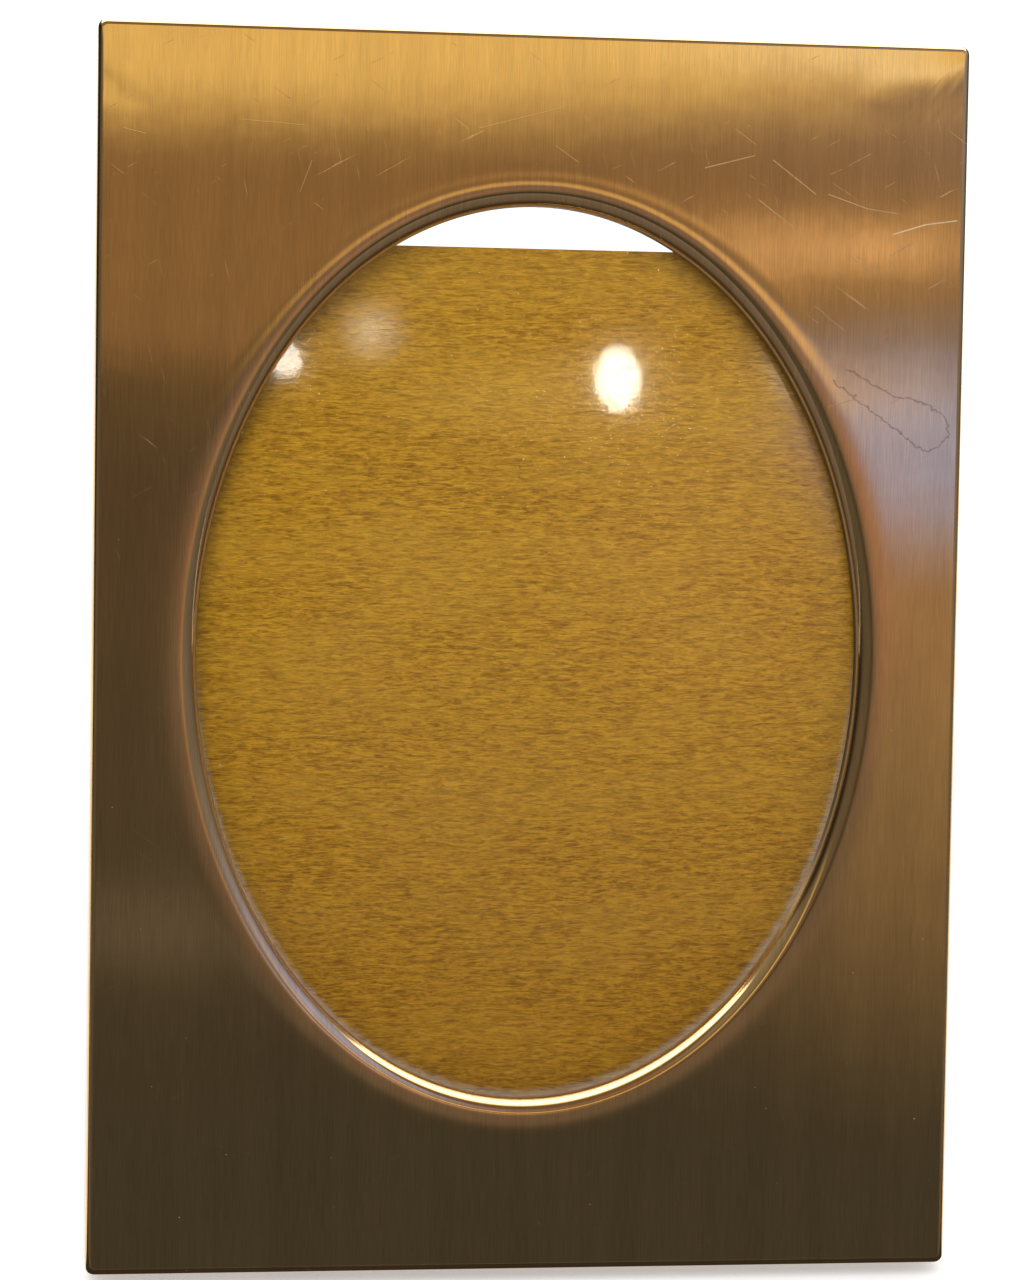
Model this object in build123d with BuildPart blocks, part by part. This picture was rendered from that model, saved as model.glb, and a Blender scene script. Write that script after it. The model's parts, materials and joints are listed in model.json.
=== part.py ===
from build123d import *
import os
from math import asin, atan2, cos, hypot, radians, sin

# A small picture frame: a shell pressed from one sheet of brass, with an oval window,
# that takes a pane, a card and a board with an easel strut, all from the open top.
# Millimetres, +Z up. The face looks towards -Y, and +X is on the viewer's right.
# The frame leans back on its strut, and the origin is under the centre of its box.
# Heights are counted up the face from the shell's bottom, and depths back from the face.

# The print that the frame is made for, and the sheet that it is pressed from.
print_width = 89.0
print_height = 127.0
print_clearance = 0.5
sheet = 0.5
fold_radius = 0.6
corner_radius = 0.9
flange_width = 6.0
overrun = 5.0

# The oval window, whose edge is turned in as a round lip.
window_half_width = 34.8
window_half_height = 46.6
bend_radius = 1.9
lip_straight = 0.3

# The inserts, front to back, and the play that lets each slide in the channels.
slide_gap = 0.1
seat_gap = 0.1
pane_thickness = 1.8
pane_arris = 0.2
card_thickness = 1.5
card_height = 106.3
card_corner = 0.4
board_thickness = 2.0
cover_thickness = 0.25

# The strut, and how far it opens.
open_angle = 28.0
hinge_height = 82.0
foot_margin = 1.2
fold_gap = 0.3
strut_board_thickness = 1.6
strut_paper = 0.2
strut_top_width = 22.0
strut_foot_width = 36.0
strut_top_gap = 0.7
strut_top_corner = 1.5
strut_foot_corner = 3.0

# The stamped hinge and its pin.
leaf_thickness = 0.5
leaf_corner = 1.2
pin_radius = 1.0
pin_fit = 0.05
pin_head_radius = 1.4
pin_head_length = 0.4
fixed_leaf_width = 24.0
fixed_leaf_length = 15.0
moving_leaf_width = 17.0
moving_leaf_length = 19.0
barrel_length = 18.0
middle_knuckle = 6.0
knuckle_gap = 0.2
leaf_relief = 0.3
tongue_width = 5.0
stop_gap = 0.1

# The rivets, which are clenched on the far side.
rivet_radius = 1.0
rivet_fit = 0.05
rivet_head_radius = 1.9
rivet_head_height = 0.6
rivet_head_round = 0.35
clench_radius = 1.6
clench_height = 0.25
clench_sink = 0.35
clench_fit = 0.1
board_rivet_spacing = 15.0
board_rivet_rise = 9.0
strut_rivet_spacing = 8.0
strut_rivet_drop = 10.5

# Sizes that follow from these.
shell_width = print_width + 2 * (print_clearance + sheet)
shell_height = print_height + 2 * (print_clearance + sheet)
inner_width = shell_width - 2 * sheet
inner_height = shell_height - 2 * sheet
lip_depth = bend_radius + lip_straight
pane_front = lip_depth + slide_gap
card_front = pane_front + pane_thickness + slide_gap
board_front = card_front + card_thickness + slide_gap
board_rear = board_front + board_thickness
cover_rear = board_rear + cover_thickness
shell_depth = cover_rear + slide_gap + sheet
insert_bottom = sheet + seat_gap
slide_travel = shell_height + overrun

strut_thickness = strut_board_thickness + 2 * strut_paper
strut_length = hinge_height - foot_margin
knuckle_bore = pin_radius + pin_fit
knuckle_radius = knuckle_bore + leaf_thickness
hinge_depth = shell_depth + fold_gap + strut_thickness + leaf_thickness - knuckle_radius
strut_front = hinge_depth - shell_depth - fold_gap
strut_rear = strut_thickness - strut_front

# The strut's foot when it is open, and the lean at which the foot and the fold behind
# the shell's bottom both touch the surface.
swing = radians(open_angle)
foot_depth = hinge_depth + strut_length * sin(swing) - strut_front * cos(swing)
foot_height = hinge_height - strut_length * cos(swing) - strut_front * sin(swing)
foot_back = foot_depth - (shell_depth - fold_radius)
foot_rise = foot_height - fold_radius
lean = atan2(foot_rise, foot_back) + asin(fold_radius / hypot(foot_back, foot_rise))

# The box behind and in front, which puts the origin under its centre.
heel_y = foot_depth * cos(lean) + foot_height * sin(lean) + strut_thickness * cos(swing - lean)
top_y = shell_depth * cos(lean) + shell_height * sin(lean)
toe_y = fold_radius * (cos(lean) + sin(lean)) - fold_radius
face_y = -(max(heel_y, top_y) + toe_y) / 2
face_z = fold_radius - fold_radius * cos(lean) + (shell_depth - fold_radius) * sin(lean)

face = Plane(origin=(0, face_y, face_z), x_dir=(1, 0, 0), z_dir=(0, -cos(lean), sin(lean)))
forward = Axis(face.origin, face.z_dir)
upward = Axis(face.origin, face.y_dir)


def behind(depth):
    """The plane that lies this deep behind the face."""
    return face.offset(-depth)


hinge_point = behind(hinge_depth).from_local_coords((0, hinge_height, 0))
strut_lean = swing - lean
strut_plane = Plane(origin=hinge_point, x_dir=(1, 0, 0), z_dir=(0, -cos(strut_lean), -sin(strut_lean)))


def across(place):
    """The plane square to the hinge pin, this far along it, with its Y up the face."""
    return Plane(origin=hinge_point + Vector(place, 0, 0), x_dir=-face.z_dir, z_dir=(1, 0, 0))


# The shell: a folded tray with its floor to the front, turned in at three sides behind.
with BuildPart() as shell:
    with BuildSketch(face):
        with Locations((0, shell_height / 2)):
            RectangleRounded(shell_width, shell_height, corner_radius)
    extrude(amount=-shell_depth)
    front_edges = shell.faces().sort_by(forward)[-1].edges()
    rear_edges = shell.faces().sort_by(forward)[0].edges()
    fillet(front_edges + rear_edges, radius=fold_radius)
    with BuildSketch(behind(sheet)):
        with Locations((0, shell_height / 2)):
            RectangleRounded(inner_width, inner_height, corner_radius - sheet)
    extrude(amount=-(shell_depth - 2 * sheet), mode=Mode.SUBTRACT)
    # The way in from behind, between the flanges.
    with BuildSketch(behind(shell_depth - 2 * sheet)):
        with Locations((0, flange_width)):
            Rectangle(shell_width - 2 * flange_width, shell_height, align=(Align.CENTER, Align.MIN))
    extrude(amount=-(2 * sheet + overrun), mode=Mode.SUBTRACT)
    # The open top of the channels, behind the shallow top wall.
    with BuildSketch(behind(lip_depth)):
        with Locations((0, shell_height - 2 * sheet)):
            Rectangle(inner_width, 2 * sheet + overrun, align=(Align.CENTER, Align.MIN))
    extrude(amount=-(shell_depth - lip_depth + overrun), mode=Mode.SUBTRACT)
    # The lip round the window.
    with BuildSketch(behind(sheet)):
        with Locations((0, shell_height / 2)):
            Ellipse(window_half_width + sheet, window_half_height + sheet)
    extrude(amount=-(lip_depth - sheet))
    with BuildSketch(face):
        with Locations((0, shell_height / 2)):
            Ellipse(window_half_width, window_half_height)
    extrude(amount=-(lip_depth + overrun), mode=Mode.SUBTRACT)
    ovals = shell.edges().filter_by(GeomType.ELLIPSE).group_by(forward)
    fillet(ovals[-1], radius=bend_radius)
    root = shell.edges().filter_by(GeomType.ELLIPSE).group_by(SortBy.LENGTH)[-1]
    fillet(root.sort_by(forward)[-1], radius=bend_radius - sheet)
shell.part.label = "shell"

# The clear pane, full height, with ground arrises.
with BuildPart() as pane:
    with BuildSketch(behind(pane_front)):
        with Locations((0, insert_bottom)):
            Rectangle(print_width, print_height, align=(Align.CENTER, Align.MIN))
    extrude(amount=-pane_thickness)
    chamfer(pane.edges(), length=pane_arris)
pane.part.label = "pane"

# The strawboard card that shows in the window.
with BuildPart() as backing_card:
    with BuildSketch(behind(card_front)):
        with Locations((0, insert_bottom + card_height / 2)):
            RectangleRounded(print_width, card_height, card_corner)
    extrude(amount=-card_thickness)
backing_card.part.label = "backing_card"

board_rivet_height = hinge_height + board_rivet_rise


def board_rivet_circles(radius, mode=Mode.ADD):
    """Draw a circle at each rivet of the back board."""
    with Locations((0, board_rivet_height)):
        with GridLocations(board_rivet_spacing, 0, 2, 1):
            Circle(radius, mode=mode)


def board_layer(depth, thickness):
    """Add one layer of the back board, with its rivet holes."""
    with BuildSketch(behind(depth)) as layer:
        with Locations((0, insert_bottom + card_height / 2)):
            RectangleRounded(print_width, card_height, card_corner)
        board_rivet_circles(rivet_radius + rivet_fit, Mode.SUBTRACT)
    extrude(layer.sketch, amount=-thickness)


# The back board, with sinks in front for the clenched ends of its rivets.
with BuildPart() as back_board:
    board_layer(board_front, board_thickness)
    with BuildSketch(behind(board_front)):
        board_rivet_circles(clench_radius + clench_fit)
    extrude(amount=-clench_sink, mode=Mode.SUBTRACT)
back_board.part.label = "back_board"

# The cover paper glued behind the board.
with BuildPart() as back_cover:
    board_layer(board_rear, cover_thickness)
back_cover.part.label = "back_cover"


def knuckle(start, length):
    """Add one rolled knuckle of the hinge, from this place along the pin."""
    with BuildSketch(across(start)) as ring:
        Circle(knuckle_radius)
        Circle(knuckle_bore, mode=Mode.SUBTRACT)
    extrude(ring.sketch, amount=length)


# The fixed leaf: a plate above the pin with two outer knuckles, notched for the third.
with BuildPart() as hinge_fixed_leaf:
    with BuildSketch(behind(cover_rear)) as plate:
        with Locations((0, hinge_height + knuckle_radius + leaf_relief)):
            Rectangle(
                fixed_leaf_width,
                fixed_leaf_length - knuckle_radius - leaf_relief,
                align=(Align.CENTER, Align.MIN),
            )
        fillet(plate.vertices(), radius=leaf_corner)
        with Locations((0, hinge_height)):
            Rectangle(barrel_length, fixed_leaf_length / 2, align=(Align.CENTER, Align.MIN))
            Rectangle(
                middle_knuckle + 2 * knuckle_gap,
                2 * (knuckle_radius + leaf_relief),
                mode=Mode.SUBTRACT,
            )
        board_rivet_circles(rivet_radius + rivet_fit, Mode.SUBTRACT)
    extrude(amount=-leaf_thickness)
    outer_length = (barrel_length - middle_knuckle) / 2 - knuckle_gap
    knuckle(-barrel_length / 2, outer_length)
    knuckle(barrel_length / 2 - outer_length, outer_length)
hinge_fixed_leaf.part.label = "hinge_fixed_leaf"

# The pin, held between its two peened heads.
with BuildPart() as hinge_pin:
    pin_reach = barrel_length / 2 + pin_fit
    with BuildSketch(across(-pin_reach)):
        Circle(pin_radius)
    extrude(amount=2 * pin_reach)
    with BuildSketch(across(-pin_reach - pin_head_length), across(pin_reach)):
        Circle(pin_head_radius)
    extrude(amount=pin_head_length)
hinge_pin.part.label = "hinge_pin"


def strut_rivet_circles(radius, mode=Mode.ADD):
    """Draw a circle at each rivet of the strut."""
    with Locations((0, -strut_rivet_drop)):
        with GridLocations(0, strut_rivet_spacing, 1, 2):
            Circle(radius, mode=mode)


def rivets(plane, circles, grip):
    """Add rivets headed on this plane, which go forward through the grip to their clench."""
    with BuildSketch(plane) as heads:
        circles(rivet_head_radius)
    extrude(heads.sketch, amount=-rivet_head_height)
    head_tops = faces(Select.LAST).sort_by(Axis(plane.origin, plane.z_dir))[:2]
    fillet(head_tops.edges(), radius=rivet_head_round)
    with BuildSketch(plane) as shanks:
        circles(rivet_radius)
    extrude(shanks.sketch, amount=grip)
    with BuildSketch(plane.offset(grip)) as clenches:
        circles(clench_radius)
    extrude(clenches.sketch, amount=clench_height)


# The two rivets that hold the fixed leaf to the board.
with BuildPart() as board_rivets:
    board_grip = leaf_thickness + cover_thickness + board_thickness - clench_sink
    rivets(behind(cover_rear + leaf_thickness), board_rivet_circles, board_grip)
board_rivets.part.label = "board_rivets"


def strut_layer(front, thickness):
    """Add one layer of the strut, tapered from under the pin out to the foot."""
    top = -(knuckle_radius + strut_top_gap)
    with BuildSketch(strut_plane.offset(front)) as layer:
        with BuildLine():
            Polyline(
                (-strut_top_width / 2, top),
                (strut_top_width / 2, top),
                (strut_foot_width / 2, -strut_length),
                (-strut_foot_width / 2, -strut_length),
                close=True,
            )
        make_face()
        fillet(layer.vertices().sort_by(Axis.Y)[:2], radius=strut_foot_corner)
        fillet(layer.vertices().sort_by(Axis.Y)[-2:], radius=strut_top_corner)
        strut_rivet_circles(rivet_radius + rivet_fit, Mode.SUBTRACT)
    extrude(layer.sketch, amount=-thickness)


# The strut: a board between a front lining and a rear cover of the same paper.
with BuildPart() as strut_lining:
    strut_layer(strut_front, strut_paper)
strut_lining.part.label = "strut_lining"

with BuildPart() as strut_board:
    strut_layer(strut_front - strut_paper, strut_board_thickness)
strut_board.part.label = "strut_board"

with BuildPart() as strut_cover:
    strut_layer(strut_paper - strut_rear, strut_paper)
strut_cover.part.label = "strut_cover"

# The moving leaf: its middle knuckle, its plate on the strut, and the tongue above the
# pin that meets the fixed leaf when the strut is open.
stop_reach = hinge_depth - cover_rear - leaf_thickness - stop_gap
tongue_length = (stop_reach + strut_rear * cos(swing)) / sin(swing)
with BuildPart() as hinge_moving_leaf:
    with BuildSketch(strut_plane.offset(-strut_rear)) as plate:
        with Locations((0, -knuckle_radius - leaf_relief)):
            Rectangle(
                moving_leaf_width,
                moving_leaf_length - knuckle_radius - leaf_relief,
                align=(Align.CENTER, Align.MAX),
            )
        fillet(plate.vertices(), radius=leaf_corner)
        Rectangle(middle_knuckle, moving_leaf_length / 2, align=(Align.CENTER, Align.MAX))
        Rectangle(tongue_width, tongue_length, align=(Align.CENTER, Align.MIN))
        strut_rivet_circles(rivet_radius + rivet_fit, Mode.SUBTRACT)
    extrude(amount=-leaf_thickness)
    knuckle(-middle_knuckle / 2, middle_knuckle)
hinge_moving_leaf.part.label = "hinge_moving_leaf"

# The two rivets that hold the moving leaf to the strut.
with BuildPart() as strut_rivets:
    rivets(
        strut_plane.offset(-strut_rear - leaf_thickness),
        strut_rivet_circles,
        leaf_thickness + strut_thickness,
    )
strut_rivets.part.label = "strut_rivets"

pieces = (
    shell,
    pane,
    backing_card,
    back_board,
    back_cover,
    hinge_fixed_leaf,
    hinge_pin,
    board_rivets,
    strut_lining,
    strut_board,
    strut_cover,
    hinge_moving_leaf,
    strut_rivets,
)

os.makedirs("parts", exist_ok=True)
for piece in pieces:
    export_step(piece.part, f"parts/{piece.part.label}.step")
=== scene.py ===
import json
import logging
import math
from dataclasses import dataclass
from typing import Any, Iterable, Sequence, Union

import bmesh
import bpy
import numpy as np
from mathutils import Matrix, Vector


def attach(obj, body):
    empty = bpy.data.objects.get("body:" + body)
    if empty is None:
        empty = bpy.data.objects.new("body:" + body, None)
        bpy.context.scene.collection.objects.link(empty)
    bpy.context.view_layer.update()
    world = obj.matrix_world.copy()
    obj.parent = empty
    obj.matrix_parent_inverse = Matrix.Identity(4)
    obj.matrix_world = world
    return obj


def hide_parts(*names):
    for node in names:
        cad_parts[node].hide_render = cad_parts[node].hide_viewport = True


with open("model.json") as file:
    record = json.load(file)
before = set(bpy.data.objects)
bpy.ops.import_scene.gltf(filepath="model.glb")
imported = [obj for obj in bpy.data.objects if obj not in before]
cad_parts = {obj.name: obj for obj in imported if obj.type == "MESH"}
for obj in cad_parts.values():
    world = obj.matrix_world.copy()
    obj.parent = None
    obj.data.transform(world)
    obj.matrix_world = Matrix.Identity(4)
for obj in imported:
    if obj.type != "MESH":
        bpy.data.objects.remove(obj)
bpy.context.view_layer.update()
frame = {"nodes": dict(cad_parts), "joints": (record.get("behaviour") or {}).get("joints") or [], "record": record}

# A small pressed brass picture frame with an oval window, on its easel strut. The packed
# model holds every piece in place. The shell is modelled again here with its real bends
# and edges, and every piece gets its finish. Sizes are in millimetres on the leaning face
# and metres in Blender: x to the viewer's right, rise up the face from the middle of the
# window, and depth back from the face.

log = logging.getLogger("oval_frame")

MM = 0.001

Socket = bpy.types.NodeSocket
Value = Union[float, Socket]
Colour = tuple[float, float, float]


@dataclass(frozen=True)
class LeaningPlane:
    """A flat system of the object: x to the right, rise up the plane, depth behind it."""

    origin: Vector
    up: Vector

    @property
    def out(self) -> Vector:
        """The direction that the plane faces."""
        return Vector((1, 0, 0)).cross(self.up)

    @property
    def tilt(self) -> float:
        """How far the plane leans back, in radians."""
        return math.atan2(self.up.y, self.up.z)

    def point(self, x: float, rise: float, depth: float) -> Vector:
        """Place a point of this plane in the scene.

        Args:
            x: Millimetres to the right.
            rise: Millimetres up the plane.
            depth: Millimetres behind the plane.

        Returns:
            The point in metres.
        """
        place = Vector((x, 0, 0)) + self.up * rise - self.out * depth
        return self.origin + place * MM

    def points(self, places: np.ndarray) -> np.ndarray:
        """Place many (x, rise, depth) rows in the scene.

        Args:
            places: Rows of millimetres.

        Returns:
            Rows of metres.
        """
        axes = np.array([(1, 0, 0), self.up, -self.out])
        return places @ axes * MM + np.array(self.origin)

    @classmethod
    def of_face(cls, record: dict[str, Any], half_height: float) -> "LeaningPlane":
        """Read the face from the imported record's mounts.

        Args:
            record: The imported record.
            half_height: Half the height of the shell.

        Returns:
            The plane of the face, centred on the window.
        """
        mounts = {mount["name"]: mount for mount in record["mounts"]}
        up = -Vector(mounts["base"]["axis"]).normalized()
        out = Vector((1, 0, 0)).cross(up)
        base = Vector(mounts["base"]["pos_m"])
        half_depth = (base - Vector(mounts["rear_rim"]["pos_m"])).dot(out)
        return cls(base + out * half_depth + up * half_height * MM, up)

    @classmethod
    def of_strut(cls, joints: Sequence[dict[str, Any]]) -> "LeaningPlane":
        """Read the open strut from its joint.

        Args:
            joints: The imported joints.

        Returns:
            The plane of the strut, centred on its hinge.
        """
        hinge = next(joint for joint in joints if joint["name"] == "strut_swing")
        slide = next(joint for joint in joints if joint["name"] == "back_slide")
        lean = math.atan2(slide["axis"][1], slide["axis"][2])
        lean += math.radians(hinge["range_deg"][0])
        return cls(Vector(hinge["pos_m"]), Vector((0, math.sin(lean), math.cos(lean))))


class Recipe:
    """One material, written as a chain of shader nodes."""

    def __init__(self, name: str) -> None:
        """Start an empty material of this name."""
        self.material = bpy.data.materials.new(name)
        self.material.use_nodes = True
        self.tree = self.material.node_tree
        self.tree.nodes.clear()

    @classmethod
    def of_tree(cls, tree: bpy.types.NodeTree) -> "Recipe":
        """Start on an empty tree that isn't a material's."""
        recipe = cls.__new__(cls)
        recipe.tree = tree
        tree.nodes.clear()
        return recipe

    def add(self, kind: str, sockets: dict[Any, Any], **settings: Any) -> bpy.types.Node:
        """Add a node, set it and feed it.

        Args:
            kind: The node's type, without its ShaderNode prefix.
            sockets: A number, colour or other node's output for each input.
            settings: The node's own settings.

        Returns:
            The node.
        """
        node = self.tree.nodes.new("ShaderNode" + kind)
        for name, value in settings.items():
            setattr(node, name, value)
        for name, value in sockets.items():
            socket = node.inputs[name]
            if isinstance(value, Socket):
                self.tree.links.new(value, socket)
            elif socket.type == "RGBA" and len(value) == 3:
                socket.default_value = (*value, 1.0)
            else:
                socket.default_value = value
        return node

    def calc(self, operation: str, *values: Value, clamp: bool = False) -> Socket:
        """Work out one number from others."""
        sockets = dict(enumerate(values))
        return self.add("Math", sockets, operation=operation, use_clamp=clamp).outputs[0]

    def blend(self, first: Value, share: float, second: Value, other: float) -> Socket:
        """Add two numbers up, each by its share."""
        parts = self.calc("MULTIPLY", first, share), self.calc("MULTIPLY", second, other)
        return self.calc("ADD", *parts)

    def vector(self, operation: str, *values: Any) -> bpy.types.Node:
        """Work on vectors, and return the node for its outputs."""
        return self.add("VectorMath", dict(enumerate(values)), operation=operation)

    def join(self, x: Value, y: Value = 0.0, z: Value = 0.0) -> Socket:
        """Make a vector of three numbers."""
        return self.add("CombineXYZ", {0: x, 1: y, 2: z}).outputs[0]

    def fade(
        self, value: Value, start: float, end: float, low: float = 0.0, high: float = 1.0
    ) -> Socket:
        """Go smoothly from low to high while the value goes from start to end."""
        sockets = {0: value, 1: start, 2: end, 3: low, 4: high}
        node = self.add("MapRange", sockets, interpolation_type="SMOOTHSTEP")
        return node.outputs[0]

    def mix(self, share: Value, first: Any, second: Any, blend: str = "MIX") -> Socket:
        """Mix two colours by a share of the second."""
        sockets = {0: share, 6: first, 7: second}
        node = self.add("Mix", sockets, data_type="RGBA", blend_type=blend)
        return node.outputs[2]

    def ramp(self, value: Value, stops: Sequence[tuple[float, Colour]]) -> Socket:
        """Turn a number into a colour along a row of stops."""
        node = self.add("ValToRGB", {0: value})
        elements = node.color_ramp.elements
        for place, _ in stops[2:]:
            elements.new(place)
        for element, (place, colour) in zip(elements, stops):
            element.position = place
            element.color = (*colour, 1.0)
        return node.outputs[0]

    def noise(
        self,
        place: Socket,
        scale: float,
        detail: float = 2.0,
        rough: float = 0.5,
        twist: float = 0.0,
    ) -> Socket:
        """Cloudy noise between 0 and 1."""
        sockets = {
            "Vector": place,
            "Scale": scale,
            "Detail": detail,
            "Roughness": rough,
            "Distortion": twist,
        }
        return self.add("TexNoise", sockets).outputs[0]

    def stretch(self, place: Socket, x: float, y: float, z: float = 1.0) -> Socket:
        """Scale a place along its axes, which draws the pattern on it out."""
        return self.vector("MULTIPLY", place, (x, y, z)).outputs[0]

    def millimetres(self, plane: LeaningPlane) -> Socket:
        """The place on the object in the millimetres of a plane: x, depth, rise."""
        cosine, sine = math.cos(plane.tilt), math.sin(plane.tilt)
        depth = plane.origin.y * cosine - plane.origin.z * sine
        rise = plane.origin.y * sine + plane.origin.z * cosine
        source = self.add("TexCoord", {}).outputs["Object"]
        sockets = {
            "Vector": source,
            "Location": (0.0, -depth / MM, -rise / MM),
            "Rotation": (plane.tilt, 0.0, 0.0),
            "Scale": (1 / MM, 1 / MM, 1 / MM),
        }
        return self.add("Mapping", sockets, vector_type="POINT").outputs[0]

    def split(self, place: Socket) -> tuple[Socket, Socket, Socket]:
        """Take a place apart into its three numbers."""
        node = self.add("SeparateXYZ", {0: place})
        return node.outputs[0], node.outputs[1], node.outputs[2]

    def segment(self, place: Socket, start: Sequence[float], end: Sequence[float]) -> Socket:
        """Measure how far a place is from a straight line on the flat.

        Args:
            place: A place whose first two numbers count.
            start: Where the line starts, in millimetres.
            end: Where it ends.

        Returns:
            The distance from the line.
        """
        way = Vector((end[0] - start[0], end[1] - start[1], 0.0))
        from_start = self.vector("SUBTRACT", place, (start[0], start[1], 0.0)).outputs[0]
        across = tuple(way / way.length_squared)
        reach = self.vector("DOT_PRODUCT", from_start, across).outputs["Value"]
        along = self.calc("MULTIPLY", reach, 1.0, clamp=True)
        sockets = {0: tuple(way), "Scale": along}
        foot = self.add("VectorMath", sockets, operation="SCALE").outputs[0]
        apart = self.vector("SUBTRACT", from_start, foot).outputs[0]
        return self.vector("LENGTH", apart).outputs["Value"]

    def bump(self, height: Value, depth: float, strength: float = 1.0, after: Any = None) -> Socket:
        """Turn a height between 0 and 1 into a normal, for a relief this deep in millimetres."""
        sockets = {"Height": height, "Distance": depth * MM, "Strength": strength}
        if after is not None:
            sockets["Normal"] = after
        return self.add("Bump", sockets).outputs[0]

    def surface(self, sockets: dict[str, Any]) -> bpy.types.Node:
        """Add the Principled shader with these inputs."""
        return self.add("BsdfPrincipled", sockets)

    def glowing(self, colour: Any) -> bpy.types.Material:
        """Let the surface shine in this colour, without lighting anything by itself."""
        material = self.finish(self.add("Emission", {"Color": colour, "Strength": 1.0}))
        material.cycles.emission_sampling = "NONE"
        return material

    def finish(self, shader: bpy.types.Node) -> bpy.types.Material:
        """Put the shader on the surface.

        Args:
            shader: The last shader of the chain.

        Returns:
            The material.
        """
        self.add("OutputMaterial", {"Surface": shader.outputs[0]})
        return self.material


@dataclass(frozen=True)
class Scratch:
    """A straight mark on the face: its ends, width and strength."""

    start: tuple[float, float]
    end: tuple[float, float]
    width: float
    strength: float


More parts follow.
